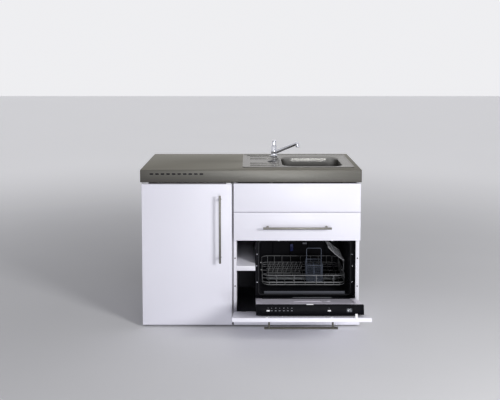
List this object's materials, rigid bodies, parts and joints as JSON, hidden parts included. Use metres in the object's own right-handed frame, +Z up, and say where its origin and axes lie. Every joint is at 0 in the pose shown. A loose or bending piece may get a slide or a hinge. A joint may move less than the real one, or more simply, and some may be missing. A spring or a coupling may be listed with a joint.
{
  "type": "kitchenette unit",
  "caption": "Steel mini kitchen with inset sink and tap, built-in refrigerator, drawer and a fold-down flap over a compact dishwasher.",
  "frame": {"origin": "middle of the footprint at floor level, with the flap and the dishwasher door open as pictured", "axes": "+X to the right along the worktop, -Y out of the fronts towards the user, +Z up"},
  "size_m": [1.2, 0.9854, 0.9881],
  "materials": {
    "white_front": "glossy white powder coat",
    "white_carcass": "satin white powder coat",
    "brushed_steel": "stainless sheet brushed along the worktop",
    "sink_steel": "satin pressed stainless",
    "chrome": "polished",
    "handle_steel": "satin bar",
    "chipboard": "raw board",
    "black_plastic": "satin black",
    "tub_black": "dark lacquered sheet",
    "door_liner_steel": "satin stainless",
    "rack_wire": "grey nylon-coated wire",
    "basket_plastic": "blue-grey plastic",
    "white_plastic": "fine satin",
    "clear_plastic": "clear, slightly blue",
    "rubber": "matt",
    "shelf_glass": "clear float glass, green edge",
    "pipe_plastic": "light grey pipe",
    "black_steel": "black lacquer",
    "zinc_steel": "zinc-plated, dull"
  },
  "bodies": {
    "cabinet": {"worktop_skin": "brushed_steel", "worktop_core": "chipboard", "sink": "sink_steel", "sink_waste": "chrome", "waste_pipe": "pipe_plastic", "tap_body": "chrome", "left_side": "white_carcass", "partition": "white_carcass", "right_side": "white_carcass", "cabinet_floor": "white_carcass", "cabinet_back": "zinc_steel", "plinth": "white_front", "blind_panel": "white_front", "niche_shelf": "white_carcass", "foot_front_left": "black_plastic", "foot_back_left": "black_plastic", "foot_front_right": "black_plastic", "foot_back_right": "black_plastic", "drawer_runner_left": "zinc_steel", "drawer_runner_right": "zinc_steel", "flap_hinge_left": "zinc_steel", "flap_hinge_right": "zinc_steel", "dishwasher_casing": "tub_black", "dishwasher_seal": "rubber", "fridge_cabinet": "white_plastic", "ice_box": "zinc_steel", "glass_shelf": "shelf_glass", "crisper": "clear_plastic", "thermostat_housing": "white_plastic", "compressor": "black_steel", "condenser": "black_steel", "fridge_hinge_top": "white_plastic", "fridge_hinge_bottom": "zinc_steel"},
    "sink_plug": {"sink_plug": "chrome"},
    "tap_spout": {"tap_spout": "chrome"},
    "tap_cap": {"tap_cap": "chrome"},
    "tap_lever": {"tap_lever": "chrome"},
    "fridge_door": {"fridge_door": "white_front", "fridge_door_liner": "white_plastic", "fridge_door_seal": "rubber", "fridge_handle": "handle_steel", "door_bin_lower": "clear_plastic", "door_bin_upper": "clear_plastic"},
    "ice_box_flap": {"ice_box_flap": "clear_plastic"},
    "thermostat_dial": {"thermostat_dial": "white_plastic"},
    "drawer": {"drawer_front": "white_front", "drawer_box": "zinc_steel", "drawer_handle": "handle_steel"},
    "flap": {"flap_panel": "white_front", "flap_handle": "handle_steel"},
    "dishwasher_door": {"dishwasher_door": "black_plastic", "dishwasher_door_liner": "door_liner_steel", "dishwasher_control_panel": "black_plastic"},
    "dispenser_lid": {"dispenser_lid": "black_plastic"},
    "power_button": {"power_button": "white_plastic"},
    "start_button": {"start_button": "white_plastic"},
    "dish_rack": {"dish_rack": "rack_wire", "cutlery_basket": "basket_plastic"},
    "cup_shelf": {"cup_shelf": "rack_wire"},
    "spray_arm": {"spray_arm": "zinc_steel"}
  },
  "joints": [
    {"name": "plug_lift", "type": "slide", "parent": "cabinet", "child": "sink_plug", "axis": [0, 0, 1], "range_m": [0, 0.02]},
    {"name": "spout_swivel", "type": "hinge", "parent": "cabinet", "child": "tap_spout", "pos_m": [0.142, 0.39872, 0.8975], "axis": [0, 0, 1], "range_deg": [-95, 45]},
    {"name": "mixer_turn", "type": "hinge", "parent": "cabinet", "child": "tap_cap", "pos_m": [0.142, 0.39872, 0.947], "axis": [0, 0, 1], "range_deg": [-50, 50]},
    {"name": "lever_lift", "type": "hinge", "parent": "tap_cap", "child": "tap_lever", "pos_m": [0.142, 0.40922, 0.9621], "axis": [-1, 0, 0], "range_deg": [0, 22]},
    {"name": "fridge_door_hinge", "type": "hinge", "parent": "cabinet", "child": "fridge_door", "pos_m": [-0.588, -0.08328, 0.4], "axis": [0, 0, -1], "range_deg": [0, 110]},
    {"name": "ice_box_flap_hinge", "type": "hinge", "parent": "cabinet", "child": "ice_box_flap", "pos_m": [-0.539, -0.01428, 0.68], "axis": [0, 0, -1], "range_deg": [0, 82.5]},
    {"name": "thermostat_turn", "type": "hinge", "parent": "cabinet", "child": "thermostat_dial", "pos_m": [-0.172, 0.09272, 0.565], "axis": [-1, 0, 0], "range_deg": [0, 300]},
    {"name": "drawer_slide", "type": "slide", "parent": "cabinet", "child": "drawer", "axis": [0, -1, 0], "range_m": [0, 0.3]},
    {"name": "flap_hinge", "type": "hinge", "parent": "cabinet", "child": "flap", "pos_m": [0.251, -0.09928, 0.069], "axis": [-1, 0, 0], "range_deg": [0, 73.5]},
    {"name": "dishwasher_door_hinge", "type": "hinge", "parent": "cabinet", "child": "dishwasher_door", "pos_m": [0.2992, -0.05128, 0.128], "axis": [-1, 0, 0], "range_deg": [0, 76.81]},
    {"name": "dispenser_lid_hinge", "type": "hinge", "parent": "dishwasher_door", "child": "dispenser_lid", "pos_m": [0.2992, -0.19305, 0.18046], "axis": [-1, 0, 0], "range_deg": [0, 80]},
    {"name": "power_press", "type": "slide", "parent": "dishwasher_door", "child": "power_button", "axis": [0, 0.9736, -0.2284], "range_m": [0, 0.0015], "stiffness_N_per_m": 600},
    {"name": "start_press", "type": "slide", "parent": "dishwasher_door", "child": "start_button", "axis": [0, 0.9736, -0.2284], "range_m": [0, 0.0015], "stiffness_N_per_m": 600},
    {"name": "rack_slide", "type": "slide", "parent": "cabinet", "child": "dish_rack", "axis": [0, 1, 0], "range_m": [-0.22, 0]},
    {"name": "cup_shelf_fold", "type": "hinge", "parent": "dish_rack", "child": "cup_shelf", "pos_m": [0.5334, 0.21172, 0.309], "axis": [0, 1, 0], "range_deg": [0, 45]},
    {"name": "spray_arm_spin", "type": "hinge", "parent": "cabinet", "child": "spray_arm", "pos_m": [0.2992, 0.20972, 0.17], "axis": [0, 0, 1], "continuous": true}
  ],
  "couplings": [
    {"joint": "dishwasher_door_hinge", "follows": "flap_hinge", "ratio": 1.0449},
    {"joint": "ice_box_flap_hinge", "follows": "fridge_door_hinge", "ratio": 0.75}
  ]
}
